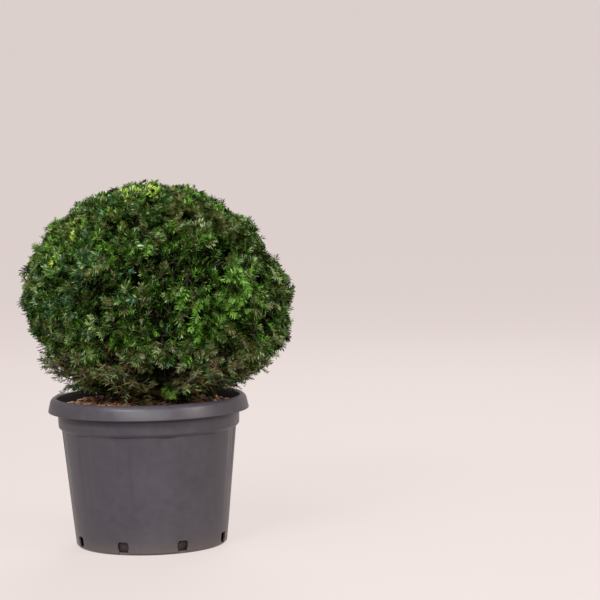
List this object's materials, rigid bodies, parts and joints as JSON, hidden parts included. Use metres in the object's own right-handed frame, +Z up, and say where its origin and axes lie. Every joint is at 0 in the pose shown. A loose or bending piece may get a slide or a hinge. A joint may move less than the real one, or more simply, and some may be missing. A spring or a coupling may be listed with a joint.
{
  "type": "potted yew ball",
  "caption": "Evergreen yew clipped to a dense ball on a short forked trunk, growing in a round tapered plastic nursery pot with a turned-down lip; stands on a patio.",
  "frame": {"origin": "middle of the pot's flat underside, at ground level", "axes": "+Z straight up along the pot's axis; the front seen in the picture faces -Y, and +X is to the right as seen from the front"},
  "size_m": [0.6817, 0.6804, 0.9053],
  "materials": {
    "pot_plastic": "satin",
    "soil": "matte",
    "bark": "matte",
    "needles": "satin"
  },
  "bodies": {
    "root": {"pot": "pot_plastic", "soil": "soil", "trunk": "bark", "bough_1": "bark", "bough_2": "bark", "bough_3": "bark", "bough_4": "bark", "bough_5": "bark", "low_bough_left": "bark", "low_bough_front": "bark", "low_bough_right": "bark", "low_bough_back_right": "bark", "low_bough_back_left": "bark", "low_spray_left": "needles", "low_spray_front": "needles", "low_spray_right": "needles", "low_spray_back_right": "needles", "low_spray_back_left": "needles", "crown": "needles"}
  },
  "joints": []
}
